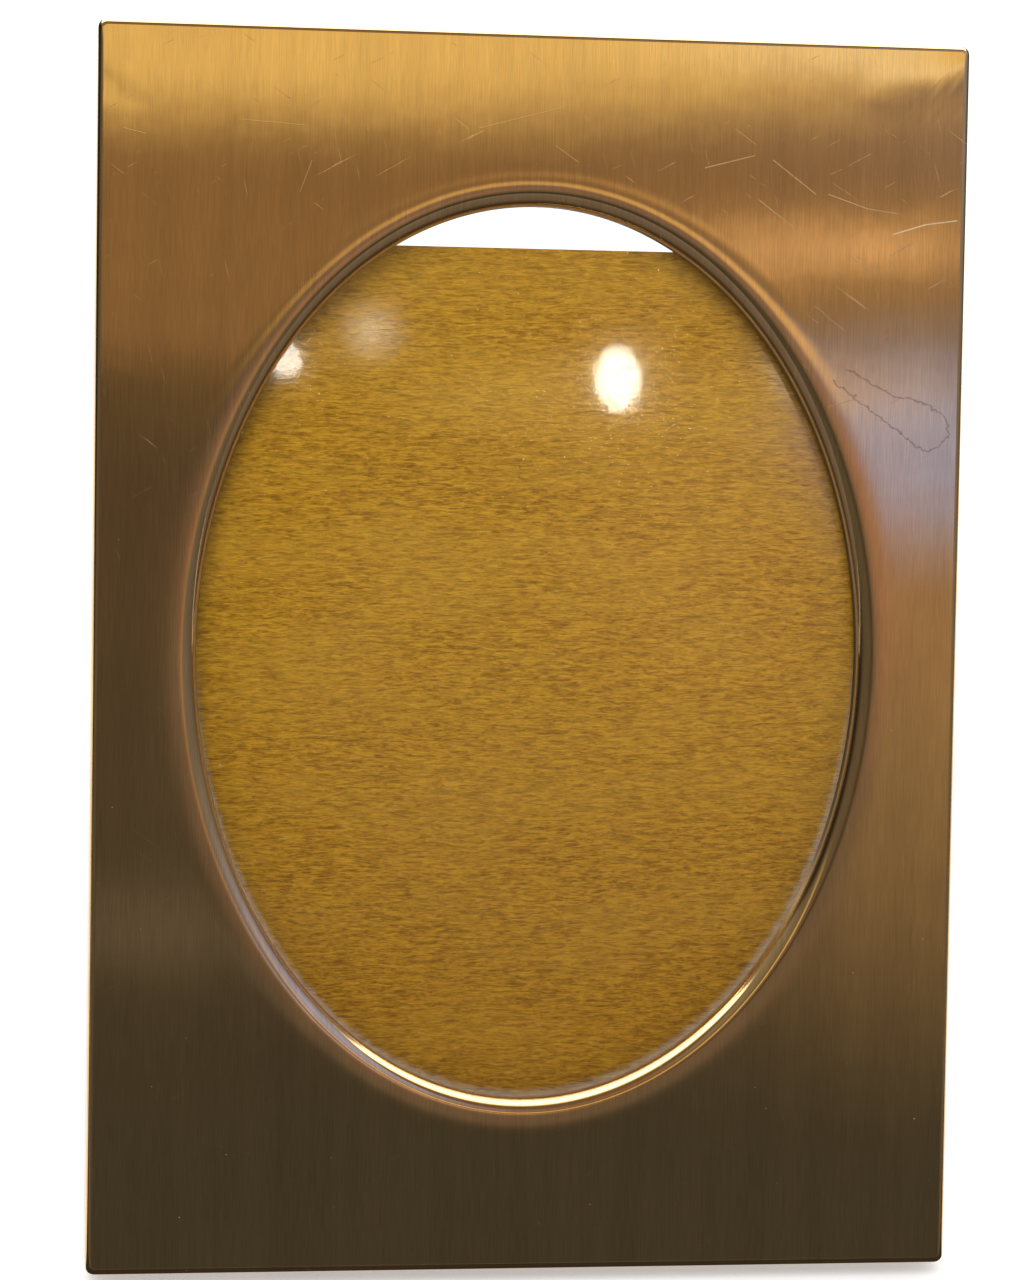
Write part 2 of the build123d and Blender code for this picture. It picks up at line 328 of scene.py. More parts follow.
@dataclass(frozen=True)
class BrushedBrass:
    """Old brushed brass with its grain up the face, hair scratches, rubs and a water mark, with painted highlights
    on its scratches and painted shade low on the face and inside the upper lip.
    """

    plane: LeaningPlane
    metal: Colour = (0.80, 0.555, 0.255)
    # The tarnish colour, also used for the painted shade low on the face.
    tarnish: Colour = (0.46, 0.30, 0.155)
    roughness: float = 0.085
    drawn_out: float = 1.0
    unrolled: str = "unrolled"
    scratches: tuple[Scratch, ...] = (
        Scratch((37.6, 44.6), (41.0, 45.7), 0.10, 0.95),
        Scratch((41.0, 45.7), (44.4, 46.2), 0.09, 0.8),
        Scratch((30.6, 48.6), (34.8, 47.2), 0.05, 0.5),
        Scratch((34.8, 47.2), (38.0, 46.8), 0.04, 0.4),
        Scratch((24.6, 52.0), (29.2, 48.6), 0.05, 0.3),
        Scratch((23.2, 47.8), (27.0, 45.0), 0.05, 0.3),
        Scratch((-42.8, 53.4), (-40.6, 52.9), 0.05, 0.4),
        Scratch((17.4, 51.0), (22.6, 52.4), 0.05, 0.25),
        Scratch((-31.0, 54.6), (-24.4, 54.2), 0.05, 0.10),
        Scratch((-24.8, 47.4), (-23.6, 50.6), 0.05, 0.2),
        Scratch((-6.4, 54.4), (2.4, 56.8), 0.05, 0.2),
        Scratch((31.0, 26.4), (34.2, 27.4), 0.06, 0.25),
    )

    water_edge: tuple[tuple[float, float], ...] = (
        (33.0, 30.4),
        (38.2, 27.6),
        (40.6, 27.4),
        (43.6, 25.5),
        (44.2, 24.0),
        (43.2, 22.7),
        (41.6, 21.8),
        (38.7, 23.9),
        (35.6, 26.1),
        (31.5, 29.2),
    )

    def marks(self, recipe: Recipe, flat: Socket) -> Socket:
        """The bright scratches of the face.

        Args:
            recipe: The material's recipe.
            flat: The place on the face.

        Returns:
            How bright the scratch is, from 0 to 1.
        """
        total: Value = 0.0
        for scratch in self.scratches:
            apart = recipe.segment(flat, scratch.start, scratch.end)
            line = recipe.fade(apart, scratch.width * 0.3, scratch.width, scratch.strength, 0.0)
            total = recipe.calc("MAXIMUM", total, line)
        return total

    def hairlines(self, recipe: Recipe, flat: Socket) -> Socket:
        """Fine handling scratches in three directions, mostly on the upper half."""
        total: Value = 0.0
        for turn, spacing in ((0.62, 1.0), (-0.5, 1.3), (1.32, 1.7)):
            sockets = {"Vector": flat, "Rotation": (0.0, 0.0, turn)}
            turned = recipe.add("Mapping", sockets, vector_type="POINT").outputs[0]
            drawn = recipe.stretch(turned, 0.12, 2.6 * spacing)
            hair = recipe.fade(recipe.noise(drawn, 1.0, 3.0, 0.6), 0.69, 0.735)
            total = recipe.calc("MAXIMUM", total, hair)
        return total

    def water_mark(self, recipe: Recipe, flat: Socket) -> Socket:
        """The dried outline of a run of water on the right.

        Args:
            recipe: The material's recipe.
            flat: The place on the face.

        Returns:
            The strength of its dark outline.
        """
        sockets = {"Vector": flat, "Scale": 1.3, "Detail": 3.0}
        shaken = recipe.add("TexNoise", sockets).outputs["Color"]
        shift = recipe.vector("SUBTRACT", shaken, (0.5, 0.5, 0.5)).outputs[0]
        place = recipe.vector("MULTIPLY_ADD", shift, (1.3, 1.3, 0.0), flat).outputs[0]
        nearest: Value = 9.0
        for start, end in zip(self.water_edge, self.water_edge[1:]):
            apart = recipe.segment(place, start, end)
            nearest = recipe.calc("MINIMUM", nearest, apart)
        return recipe.fade(nearest, 0.03, 0.16, 1.0, 0.0)

    def material(self) -> bpy.types.Material:
        """Write the material."""
        recipe = Recipe("brushed_brass")
        x, depth, rise = recipe.split(recipe.millimetres(self.plane))
        flat = recipe.join(x, rise)
        unrolled = recipe.add("UVMap", {}, uv_map=self.unrolled).outputs[0]
        sheet = recipe.stretch(unrolled, 100.0, 100.0)

        fine = recipe.noise(recipe.stretch(sheet, 8.5, 0.25), 1.0, 2.0, 0.6)
        middle = recipe.noise(recipe.stretch(sheet, 1.7, 0.05), 1.0, 3.0, 0.6)
        broad = recipe.noise(recipe.stretch(sheet, 0.3, 0.02), 1.0, 2.0)
        grain = recipe.blend(fine, 0.72, middle, 0.28)

        clouds = recipe.noise(flat, 0.05, 4.0, 0.55, 0.4)
        # Tarnish comes in random patches; the same colour is also painted in as shade that darkens the face
        # towards the bottom.
        low = recipe.fade(rise, 20.0, -50.0)
        patchy = recipe.calc("MULTIPLY_ADD", clouds, 0.5, -0.15)
        tarnish_and_painted_shade = recipe.calc("MULTIPLY_ADD", low, 0.10, patchy, clamp=True)
        colour = recipe.mix(tarnish_and_painted_shade, self.metal, self.tarnish)
        shade = recipe.fade(grain, 0.32, 0.68, 0.89, 1.06)
        shade = recipe.calc("MULTIPLY", shade, recipe.fade(broad, 0.3, 0.7, 0.96, 1.04))
        colour = recipe.mix(1.0, colour, recipe.join(shade, shade, shade), "MULTIPLY")

        # The scratches, hairlines and specks are marks on the metal; their pale, less metallic colour is a painted
        # highlight that stands in for the glint they catch.
        specks = recipe.noise(flat, 2.3, 2.0, 0.4)
        speck = recipe.fade(specks, 0.785, 0.81)
        upper = recipe.fade(rise, -10.0, 45.0, 0.12, 1.0)
        faint = recipe.calc("MULTIPLY", upper, 0.24)
        hairs = recipe.calc("MULTIPLY", self.hairlines(recipe, flat), faint)
        bright = recipe.calc("MAXIMUM", self.marks(recipe, flat), hairs)
        bright = recipe.calc("MAXIMUM", bright, recipe.calc("MULTIPLY", speck, 0.5))
        outline = self.water_mark(recipe, flat)
        colour = recipe.mix(recipe.calc("MULTIPLY", outline, 0.5), colour, (0.20, 0.11, 0.05))
        colour = recipe.mix(recipe.calc("MULTIPLY", bright, 0.8), colour, (0.80, 0.60, 0.36))

        # Painted shade: the deep part of the lip, all round except its lower part, is painted near black and made
        # rougher and less metallic, where the recess lies in shadow.
        deep = recipe.fade(depth, 0.75, 1.35, 0.0, 0.9)
        painted_lip_shade = recipe.calc("MULTIPLY", recipe.fade(rise, -34.0, -18.0), deep)
        inside_oval = recipe.stretch(flat, 1 / 37.0, 1 / 49.0)
        reach = recipe.vector("LENGTH", inside_oval).outputs["Value"]
        near = recipe.calc("LESS_THAN", reach, 1.0)
        painted_lip_shade = recipe.calc("MULTIPLY", painted_lip_shade, near)
        colour = recipe.mix(painted_lip_shade, colour, (0.035, 0.024, 0.014))

        rough = recipe.fade(clouds, 0.3, 0.7, self.roughness - 0.01, self.roughness + 0.015)
        rough = recipe.calc("MULTIPLY_ADD", painted_lip_shade, 0.6, rough)
        dull = recipe.calc("MAXIMUM", painted_lip_shade, recipe.calc("MULTIPLY", bright, 0.75))
        rough = recipe.calc("MULTIPLY_ADD", bright, 0.25, rough)

        relief = recipe.bump(grain, 0.0022)
        relief = recipe.bump(bright, 0.006, 0.6, relief)
        relief = recipe.bump(recipe.noise(flat, 0.16, 2.0), 0.005, 1.0, relief)
        tangent = recipe.add("Tangent", {}, direction_type="UV_MAP", uv_map=self.unrolled)
        shader = recipe.surface(
            {
                "Base Color": colour,
                "Metallic": recipe.calc("SUBTRACT", 1.0, dull),
                "Roughness": rough,
                "Anisotropic": self.drawn_out,
                "Normal": relief,
                "Tangent": tangent.outputs[0],
            }
        )
        return recipe.finish(shader)


@dataclass(frozen=True)
class ClearPane:
    """Clear acrylic with hair scratches, and dust along the lower half of the lip."""

    plane: LeaningPlane
    window: tuple[float, float]
    dust: Colour = (0.44, 0.41, 0.31)

    def material(self) -> bpy.types.Material:
        """Write the material."""
        recipe = Recipe("clear_pane")
        x, _, rise = recipe.split(recipe.millimetres(self.plane))
        flat = recipe.join(x, rise)
        oval = recipe.stretch(flat, 1 / self.window[0], 1 / self.window[1])
        reach = recipe.vector("LENGTH", oval).outputs["Value"]
        wobble = recipe.noise(flat, 1.2, 4.0, 0.65)
        ring = recipe.calc("MULTIPLY_ADD", wobble, 0.030, reach)
        dusty = recipe.fade(ring, 0.996, 1.022)
        dusty = recipe.calc("MULTIPLY", dusty, recipe.fade(rise, 5.0, -20.0, 0.0, 0.11))
        grit = recipe.fade(recipe.noise(flat, 3.1, 2.0), 0.73, 0.78, 0.0, 0.25)
        grit = recipe.calc("MULTIPLY", grit, recipe.fade(reach, 0.7, 1.0))
        dusty = recipe.calc("MAXIMUM", dusty, grit)
        clear = recipe.calc("SUBTRACT", 1.0, dusty)

        ripple = recipe.noise(flat, 0.8, 3.0, 0.6)
        relief = recipe.bump(ripple, 0.0006)
        scuffs = recipe.noise(recipe.stretch(flat, 0.35, 3.5), 1.0, 3.0, 0.7)
        relief = recipe.bump(recipe.fade(scuffs, 0.68, 0.75), 0.0006, 1.0, relief)
        pits = recipe.fade(recipe.noise(flat, 3.4, 3.0, 0.7), 0.56, 0.72)
        relief = recipe.bump(pits, 0.0009, 1.0, relief)
        shader = recipe.surface(
            {
                "Base Color": recipe.mix(dusty, (1.0, 1.0, 1.0), self.dust),
                "Roughness": recipe.calc("MULTIPLY_ADD", dusty, 0.4, 0.03),
                "IOR": 1.49,
                "Transmission Weight": clear,
                "Normal": relief,
            }
        )
        open_way = recipe.add("BsdfTransparent", {"Color": (1.0, 1.0, 1.0)}).outputs[0]
        path = recipe.add("LightPath", {})
        for ray in ("Is Diffuse Ray", "Is Shadow Ray"):
            sockets = {0: path.outputs[ray], 1: shader.outputs[0], 2: open_way}
            shader = recipe.add("MixShader", sockets)
        return recipe.finish(shader)


@dataclass(frozen=True)
class Strawboard:
    """Raw strawboard: mustard pulp with its fibres lying across and dark flecks, and a painted shadow under the
    upper lip.
    """

    plane: LeaningPlane
    window: tuple[float, float]
    light: Colour = (0.54, 0.284, 0.017)
    dark: Colour = (0.190, 0.082, 0.004)

    def material(self) -> bpy.types.Material:
        """Write the material."""
        recipe = Recipe("strawboard")
        x, depth, rise = recipe.split(recipe.millimetres(self.plane))
        place = recipe.join(x, rise, depth)
        wavy = recipe.noise(recipe.stretch(place, 0.5, 3.2, 1.0), 1.0, 5.0, 0.7, 0.9)
        felt = recipe.noise(recipe.stretch(place, 1.3, 7.5, 2.0), 1.0, 3.0, 0.7, 0.6)
        clouds = recipe.noise(recipe.stretch(place, 0.06, 0.16), 1.0, 3.0, 0.55)
        pulp = recipe.blend(wavy, 0.6, felt, 0.4)
        colour = recipe.mix(recipe.fade(pulp, 0.36, 0.64), self.dark, self.light)
        colour = recipe.mix(recipe.fade(clouds, 0.35, 0.7, 0.0, 0.25), colour, (0.46, 0.26, 0.03))
        # The board is darker towards the bottom.
        low = recipe.fade(rise, 20.0, -50.0, 0.0, 0.62)
        colour = recipe.mix(low, colour, recipe.mix(1.0, colour, (0.58, 0.50, 0.45), "MULTIPLY"))
        oval = recipe.stretch(recipe.join(x, rise), 1 / self.window[0], 1 / self.window[1])
        reach = recipe.vector("LENGTH", oval).outputs["Value"]
        # Painted shadow: the card is darkened from just inside the oval outwards on its upper part, where the lip
        # shades it.
        painted_lip_shadow = recipe.fade(reach, 0.965, 1.01, 0.0, 0.45)
        painted_lip_shadow = recipe.calc("MULTIPLY", painted_lip_shadow, recipe.fade(rise, 2.0, 34.0))
        colour = recipe.mix(painted_lip_shadow, colour, (0.105, 0.042, 0.006))
        flecks = recipe.noise(recipe.stretch(place, 1.2, 2.2, 1.0), 1.0, 2.0, 0.6)
        fleck = recipe.fade(flecks, 0.72, 0.77, 0.0, 0.75)
        colour = recipe.mix(fleck, colour, (0.10, 0.045, 0.012))
        fibres = recipe.noise(recipe.stretch(place, 0.9, 9.0, 2.0), 1.0, 2.0)
        fibres = recipe.fade(fibres, 0.66, 0.74, 0.0, 0.45)
        colour = recipe.mix(fibres, colour, (0.58, 0.37, 0.09))
        relief = recipe.bump(pulp, 0.09)
        relief = recipe.bump(fibres, 0.03, 1.0, relief)
        shader = recipe.surface(
            {
                "Base Color": colour,
                "Roughness": 1.0,
                "Specular IOR Level": 0.06,
                "Normal": relief,
            }
        )
        return recipe.finish(shader)


@dataclass(frozen=True)
class Hardboard:
    """Pressed brown board, whose cut edge shows its layers."""

    plane: LeaningPlane
    name: str
    light: Colour = (0.30, 0.185, 0.10)
    dark: Colour = (0.16, 0.09, 0.045)

    def material(self) -> bpy.types.Material:
        """Write the material."""
        recipe = Recipe(self.name)
        x, depth, rise = recipe.split(recipe.millimetres(self.plane))
        place = recipe.join(x, rise, depth)
        layers = recipe.noise(recipe.stretch(place, 0.4, 0.4, 5.0), 1.0, 4.0, 0.65, 0.4)
        fluff = recipe.noise(place, 3.2, 4.0, 0.7)
        pulp = recipe.blend(layers, 0.55, fluff, 0.45)
        colour = recipe.mix(recipe.fade(pulp, 0.35, 0.65), self.dark, self.light)
        fleck = recipe.fade(recipe.noise(place, 1.7, 2.0), 0.70, 0.76, 0.0, 0.6)
        colour = recipe.mix(fleck, colour, (0.07, 0.04, 0.02))
        shader = recipe.surface(
            {
                "Base Color": colour,
                "Roughness": recipe.fade(pulp, 0.3, 0.7, 0.9, 0.72),
                "Specular IOR Level": 0.3,
                "Normal": recipe.bump(pulp, 0.08),
            }
        )
        return recipe.finish(shader)


@dataclass(frozen=True)
class EmbossedPaper:
    """Dark cover paper embossed like leather, rubbed paler where it has been handled."""

    plane: LeaningPlane
    name: str
    ground: Colour = (0.030, 0.026, 0.024)
    rubbed: Colour = (0.13, 0.105, 0.085)

    def material(self) -> bpy.types.Material:
        """Write the material."""
        recipe = Recipe(self.name)
        x, depth, rise = recipe.split(recipe.millimetres(self.plane))
        place = recipe.join(x, rise, depth)
        bent = recipe.noise(place, 0.9, 2.0)
        shifted = recipe.vector("ADD", place, recipe.join(bent, bent)).outputs[0]
        sockets = {"Vector": shifted, "Scale": 1.25, "Smoothness": 0.35}
        cells = recipe.add("TexVoronoi", sockets, feature="SMOOTH_F1").outputs["Distance"]
        pebble = recipe.fade(cells, 0.1, 0.62, 1.0, 0.0)
        creases = recipe.fade(recipe.noise(place, 0.55, 4.0, 0.6, 0.5), 0.47, 0.5, 0.0, 1.0)
        wear = recipe.noise(place, 0.08, 5.0, 0.7)
        tops = recipe.calc("MULTIPLY", pebble, recipe.fade(wear, 0.5, 0.72, 0.05, 0.8))
        colour = recipe.mix(tops, self.ground, self.rubbed)
        height = recipe.calc("MULTIPLY_ADD", creases, 0.25, pebble)
        shader = recipe.surface(
            {
                "Base Color": colour,
                "Roughness": recipe.fade(pebble, 0.0, 1.0, 0.72, 0.46),
                "Normal": recipe.bump(height, 0.07),
            }
        )
        return recipe.finish(shader)


@dataclass(frozen=True)
class PlatedSteel:
    """Nickel-plated strip with rolling lines, and brown tarnish starting in patches."""

    plane: LeaningPlane
    name: str
    metal: Colour = (0.62, 0.60, 0.56)
    stain: Colour = (0.30, 0.20, 0.12)

    def material(self) -> bpy.types.Material:
        """Write the material."""
        recipe = Recipe(self.name)
        x, depth, rise = recipe.split(recipe.millimetres(self.plane))
        place = recipe.join(x, rise, depth)
        lines = recipe.noise(recipe.stretch(place, 0.25, 9.0, 9.0), 1.0, 2.0, 0.6)
        patches = recipe.noise(place, 0.5, 5.0, 0.68)
        stained = recipe.fade(patches, 0.56, 0.74, 0.0, 0.75)
        colour = recipe.mix(stained, self.metal, self.stain)
        shade = recipe.fade(lines, 0.3, 0.7, 0.88, 1.05)
        colour = recipe.mix(1.0, colour, recipe.join(shade, shade, shade), "MULTIPLY")
        rough = recipe.fade(lines, 0.3, 0.7, 0.24, 0.34)
        shader = recipe.surface(
            {
                "Base Color": colour,
                "Metallic": 1.0,
                "Roughness": recipe.calc("MULTIPLY_ADD", stained, 0.3, rough),
                "Normal": recipe.bump(lines, 0.004),
            }
        )
        return recipe.finish(shader)


class Bench:
    """The work in edit mode that the modelled pieces share."""

    @staticmethod
    def clear() -> None:
        """Leave edit mode and deselect everything."""
        if bpy.context.object is not None and bpy.context.object.mode != "OBJECT":
            bpy.ops.object.mode_set(mode="OBJECT")
        bpy.ops.object.select_all(action="DESELECT")

    @staticmethod
    def take(piece: bpy.types.Object) -> None:
        """Make this piece the only one selected, and the active one."""
        Bench.clear()
        piece.select_set(True)
        bpy.context.view_layer.objects.active = piece

    @staticmethod
    def apply(piece: bpy.types.Object, kind: str, **settings: Any) -> None:
        """Add a modifier to the piece and apply it.

        Args:
            piece: The piece to work on.
            kind: The modifier's type.
            settings: The modifier's settings.
        """
        Bench.take(piece)
        modifier = piece.modifiers.new(kind.lower(), kind)
        for name, value in settings.items():
            setattr(modifier, name, value)
        bpy.ops.object.modifier_apply(modifier=modifier.name)

    @staticmethod
    def smooth(piece: bpy.types.Object, degrees: float) -> None:
        """Shade the piece smooth, but for edges sharper than this."""
        Bench.take(piece)
        bpy.ops.object.shade_smooth_by_angle(angle=math.radians(degrees))

    @staticmethod
    def coat(piece: bpy.types.Object, material: bpy.types.Material) -> None:
        """Give the whole piece this material."""
        piece.data.materials.clear()
        piece.data.materials.append(material)


@dataclass
class Row:
    """One closed row of the shell's skin: its places, and where they lie on the flat sheet."""

    places: np.ndarray
    sheet: np.ndarray


@dataclass
class PressedShell:
    """The shell, drawn out row by row from the lip over the face to the rear flanges."""

    plane: LeaningPlane
    width: float = 91.0
    height: float = 129.0
    depth: float = 8.65
    sheet: float = 0.5
    fold: float = 0.6
    corner: float = 0.9
    flange: float = 6.0
    window: tuple[float, float] = (34.8, 46.6)
    bend: float = 1.85
    lip_depth: float = 2.2
    wall_depths: tuple[float, ...] = (1.4, 2.2, 3.6, 5.1, 6.6)
    bend_depth: float = 1.4
    dish_depth: float = 0.062
    dish_reach: float = 3.0
    wave: float = 0.006
    column_pitch: float = 1.45
    corner_steps: int = 4
    firm: float = 0.1
    bend_rows: int = 16
    dish_rows: int = 12
    face_rows: int = 12
    fold_rows: int = 6
    flange_rows: int = 4

    def outline(self) -> tuple[np.ndarray, np.ndarray]:
        """The tangent line of the front fold, with the direction in which each point folds.

        Returns:
            The points as (x, rise) rows, and their outward directions.
        """
        radius = self.corner - self.fold
        half_x = self.width / 2 - self.corner
        half_y = self.height / 2 - self.corner
        across = max(2, round(2 * half_x / self.column_pitch))
        upward = max(2, round(2 * half_y / self.column_pitch))
        points: list[tuple[float, float]] = []
        ways: list[tuple[float, float]] = []
        sides = (
            ((half_x, -half_y), (half_x, half_y), 0.0, upward),
            ((half_x, half_y), (-half_x, half_y), 90.0, across),
            ((-half_x, half_y), (-half_x, -half_y), 180.0, upward),
            ((-half_x, -half_y), (half_x, -half_y), 270.0, across),
        )
        for start, end, turn, count in sides:
            way = (math.cos(math.radians(turn)), math.sin(math.radians(turn)))
            for step in range(count + 1):
                share = step / count
                points.append(
                    (
                        start[0] + (end[0] - start[0]) * share + way[0] * radius,
                        start[1] + (end[1] - start[1]) * share + way[1] * radius,
                    )
                )
                ways.append(way)
            for step in range(1, self.corner_steps):
                angle = math.radians(turn + 90.0 * step / self.corner_steps)
                way = (math.cos(angle), math.sin(angle))
                points.append((end[0] + way[0] * radius, end[1] + way[1] * radius))
                ways.append(way)
        return np.array(points), np.array(ways)

    def feet(self, points: np.ndarray) -> tuple[np.ndarray, np.ndarray]:
        """The window's points from which a square line leads to each of these points.

        Args:
            points: Points outside the window, as (x, rise) rows.

        Returns:
            The points on the oval, and the oval's outward directions there.
        """
        semi = np.array(self.window)
        target = np.abs(points)
        low, high = np.zeros(len(points)), np.full(len(points), math.pi / 2)
        for _ in range(60):
            middle = (low + high) / 2
            foot = np.stack((np.cos(middle), np.sin(middle)), 1) * semi
            along = np.stack((-np.sin(middle), np.cos(middle)), 1) * semi
            ahead = ((target - foot) * along).sum(1) > 0
            low, high = np.where(ahead, middle, low), np.where(ahead, high, middle)
        sign = np.sign(points)
        foot = np.stack((np.cos(low), np.sin(low)), 1) * semi
        normal = foot / semi**2
        normal /= np.linalg.norm(normal, axis=1)[:, None]
        return foot * sign, normal * sign

    def unevenness(self, places: np.ndarray) -> np.ndarray:
        """How far the hand-flattened face stands back from true, at these (x, rise) rows."""
        x, rise = places[:, 0], places[:, 1]
        waves = (
            np.cos(x / 9.0 + 0.7) * np.cos(rise / 13.0 + 0.4)
            + 0.7 * np.cos(x / 15.0 - rise / 19.0 + 1.9)
            + 0.5 * np.cos(rise / 7.5 + 2.6)
        )
        edge = np.minimum(self.width / 2 - np.abs(x), self.height / 2 - np.abs(rise))
        held = np.clip((edge - self.fold) / 5.0, 0, 1)
        back = self.wave * waves * held**2 * (3 - 2 * held)
        # The dent near the top left corner, and the crease that runs in from the top right.
        back += 0.04 * np.exp(-((x + 44.0) ** 2 + (rise - 57.6) ** 2) / (2 * 0.6**2))
        start, end = np.array((44.6, 61.6)), np.array((35.5, 59.8))
        way = end - start
        share = np.clip(((places[:, :2] - start) @ way) / (way @ way), 0, 1)
        apart = np.linalg.norm(places[:, :2] - start - share[:, None] * way, axis=1)
        back -= 0.035 * (1 - 0.6 * share) * np.exp(-(apart**2) / (2 * 0.8**2))
        return back

    def rows(self) -> list[Row]:
        """Every row of the skin, from the lip's rear end to the flange's inner edge.

        Returns:
            The rows, all with the same number of places.
        """
        rim, ways = self.outline()
        foot, square = self.feet(rim)
        reach = np.linalg.norm(rim - foot, axis=1)
        slope = math.atan2(3 * self.dish_depth, self.dish_reach)
        last = math.pi / 2 - math.atan(math.tan(slope) * self.bend / self.bend_depth)
        centre_depth = self.dish_depth + self.bend_depth * math.sin(last)
        arc_end = self.bend * (1 - math.cos(last))
        arc_length = (self.bend + self.bend_depth) / 2 * last
        rows: list[Row] = []

        def lip_row(out: float, depth: float, back: float) -> None:
            """Add a row this far out from the oval, unrolled inwards by the arc behind it."""
            flat = foot + square * out
            places = np.column_stack((flat, np.full(len(rim), depth)))
            rows.append(Row(places, foot + square * (arc_end - back)))

        lip_row(0.0, self.lip_depth, arc_length + self.lip_depth - centre_depth)
        for step in range(self.bend_rows + 1):
            angle = last * step / self.bend_rows
            out = self.bend * (1 - math.cos(angle))
            depth = centre_depth - self.bend_depth * math.sin(angle)
            lip_row(out, depth, arc_length * (1 - step / self.bend_rows))
        for step in range(1, self.dish_rows + self.face_rows + 1):
            if step <= self.dish_rows:
                share = step / self.dish_rows
                out = np.full(len(rim), arc_end + self.dish_reach * share)
                depth = np.full(len(rim), self.dish_depth * (1 - share) ** 3)
            else:
                share = min(1.0, (step - self.dish_rows) / (self.face_rows - 1))
                start = arc_end + self.dish_reach
                stop = reach if step == self.dish_rows + self.face_rows else reach - self.firm
                out = start + (stop - start) * share
                depth = np.zeros(len(rim))
            flat = foot + square * out[:, None]
            depth = depth + self.unevenness(flat) * min(1.0, step / self.dish_rows)
            rows.append(Row(np.column_stack((flat, depth)), flat))

        def fold_row(out: float, depth: float, length: float) -> None:
            """Add a row out past the front fold, unrolled outwards by this length."""
            flat = rim + ways * out
            places = np.column_stack((flat, np.full(len(rim), depth)))
            rows.append(Row(places, rim + ways * length))

        length = 0.0
        quarter = math.pi / 2
        for step in range(1, self.fold_rows + 1):
            angle = quarter * step / self.fold_rows
            length = self.fold * angle
            fold_row(self.fold * math.sin(angle), self.fold * (1 - math.cos(angle)), length)
        for depth in (*self.wall_depths, self.depth - self.fold):
            length = self.fold * quarter + depth - self.fold
            fold_row(self.fold, depth, length)
        for step in range(1, self.fold_rows + 1):
            angle = quarter * step / self.fold_rows
            depth = self.depth - self.fold * (1 - math.sin(angle))
            fold_row(self.fold * math.cos(angle), depth, length + self.fold * angle)
        length += self.fold * quarter
        inner = rim.copy()
        across = (self.width / 2 - self.flange) / (self.width / 2 - self.corner)
        downward = (self.height / 2 - self.flange) / (self.height / 2 - self.corner)
        on_side = np.abs(ways[:, 0]) > 0.99
        on_end = np.abs(ways[:, 1]) > 0.99
        inner[on_side, 0] = np.sign(rim[on_side, 0]) * (self.width / 2 - self.flange)
        lower = on_side & (rim[:, 1] < 0)
        inner[lower, 1] *= downward
        inner[on_end, 0] *= across
        inner[on_end, 1] = np.sign(rim[on_end, 1]) * (self.height / 2 - self.flange)
        for step in range(1, self.flange_rows + 1):
            share = step / self.flange_rows
            flat = rim + (inner - rim) * share
            places = np.column_stack((flat, np.full(len(rim), self.depth)))
            rows.append(Row(places, rim + ways * (length + self.flange * share)))
        return rows

    def draw_out(self, rows: list[Row]) -> bpy.types.Object:
        """Extrude a circle row by row into the skin.

        Args:
            rows: The rows to pass through.

        Returns:
            The skin, with no thickness yet.
        """
        Bench.clear()
        count = len(rows[0].places)
        bpy.ops.mesh.primitive_circle_add(vertices=count, radius=self.window[0] * MM)
        skin = bpy.context.object
        skin.name = skin.data.name = "pressed_shell"
        for name in ("column", "row"):
            skin.data.attributes.new(name, "INT", "POINT")
        skin.data.attributes["column"].data.foreach_set("value", np.arange(count, dtype=np.int32))
        spots = [self.plane.points(row.places) for row in rows]
        bpy.ops.object.mode_set(mode="EDIT")
        bpy.ops.mesh.select_mode(type="EDGE")
        bpy.ops.mesh.select_all(action="SELECT")
        for number, spot in enumerate(spots):
            if number:
                bpy.ops.mesh.extrude_edges_move()
            mesh = bmesh.from_edit_mesh(skin.data)
            column = mesh.verts.layers.int["column"]
            level = mesh.verts.layers.int["row"]
            for vertex in mesh.verts:
                if vertex.select:
                    vertex[level] = number
                    vertex.co = spot[vertex[column]]
            bmesh.update_edit_mesh(skin.data)
        bpy.ops.mesh.select_all(action="SELECT")
        mesh = bmesh.from_edit_mesh(skin.data)
        mesh.normal_update()
        out, origin = self.plane.out, self.plane.origin
        near = 0.2 * MM
        front = [f for f in mesh.faces if (origin - f.calc_center_median()).dot(out) < near]
        if sum(f.normal.dot(out) for f in front) < 0:
            bpy.ops.mesh.flip_normals()
        bpy.ops.object.mode_set(mode="OBJECT")
        return skin

    def cut_away(self, skin: bpy.types.Object, rows: list[Row]) -> None:
        """Open the top of the channels, and slit the rear flange at its corners.

        Args:
            skin: The shell's skin.
            rows: The rows that it was drawn through.
        """
        _, ways = self.outline()
        at_top = ways[:, 1] > 0.6
        at_corner = (np.abs(ways[:, 0]) < 0.99) & (np.abs(ways[:, 1]) < 0.99)
        first_flange = len(rows) - self.flange_rows
        # The first row is the lip's own rear end, which is as deep as the wall.
        depths = [row.places[0, 2] for row in rows]
        wall_end = next(n for n, depth in enumerate(depths) if n and depth >= self.lip_depth)
        Bench.take(skin)
        bpy.ops.object.mode_set(mode="EDIT")
        bpy.ops.mesh.select_mode(type="FACE")
        bpy.ops.mesh.select_all(action="DESELECT")
        mesh = bmesh.from_edit_mesh(skin.data)
        column = mesh.verts.layers.int["column"]
        level = mesh.verts.layers.int["row"]
        for face in mesh.faces:
            columns = [vertex[column] for vertex in face.verts]
            lowest = min(vertex[level] for vertex in face.verts)
            open_top = lowest >= wall_end and all(at_top[c] for c in columns)
            slit = lowest >= first_flange - 1 and any(at_corner[c] for c in columns)
            face.select = open_top or slit
        bmesh.update_edit_mesh(skin.data)
        bpy.ops.mesh.delete(type="FACE")
        bpy.ops.mesh.select_all(action="SELECT")
        bpy.ops.mesh.delete_loose()
        bpy.ops.object.mode_set(mode="OBJECT")

